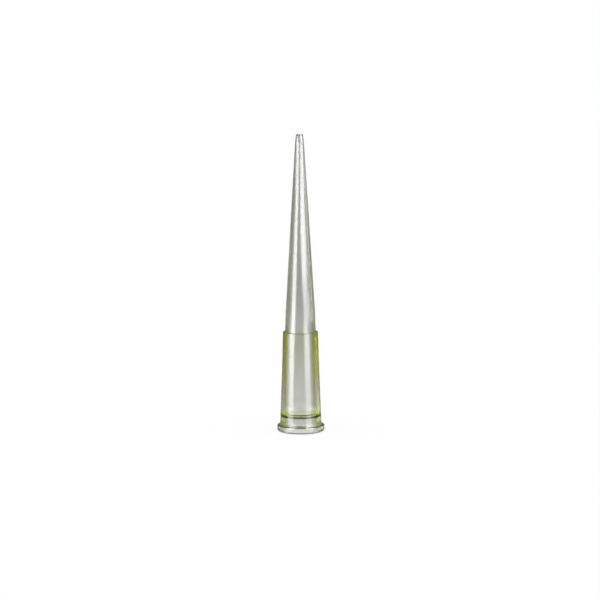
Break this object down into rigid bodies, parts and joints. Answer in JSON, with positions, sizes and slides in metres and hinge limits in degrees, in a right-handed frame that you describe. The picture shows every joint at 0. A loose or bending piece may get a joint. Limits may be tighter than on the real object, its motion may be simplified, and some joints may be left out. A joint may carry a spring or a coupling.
{
  "type": "pipette tip",
  "caption": "Clear glossy pipette tip: a slim hollow cone with a plain collar, a ledge that hangs in a rack and a rounded rim round its socket.",
  "frame": {"origin": "centre of the rim's flat face, which the tip stands on", "axes": "+Z along the axis of the bore, from the socket's mouth up to the orifice at the point; the tip is round about Z, so X and Y are free"},
  "size_m": [0.008, 0.008, 0.05],
  "materials": {
    "clear_plastic": "clear and glossy, with a yellow-green tint where the wall is seen edge on"
  },
  "bodies": {
    "root": {"tip": "clear_plastic"}
  },
  "joints": []
}
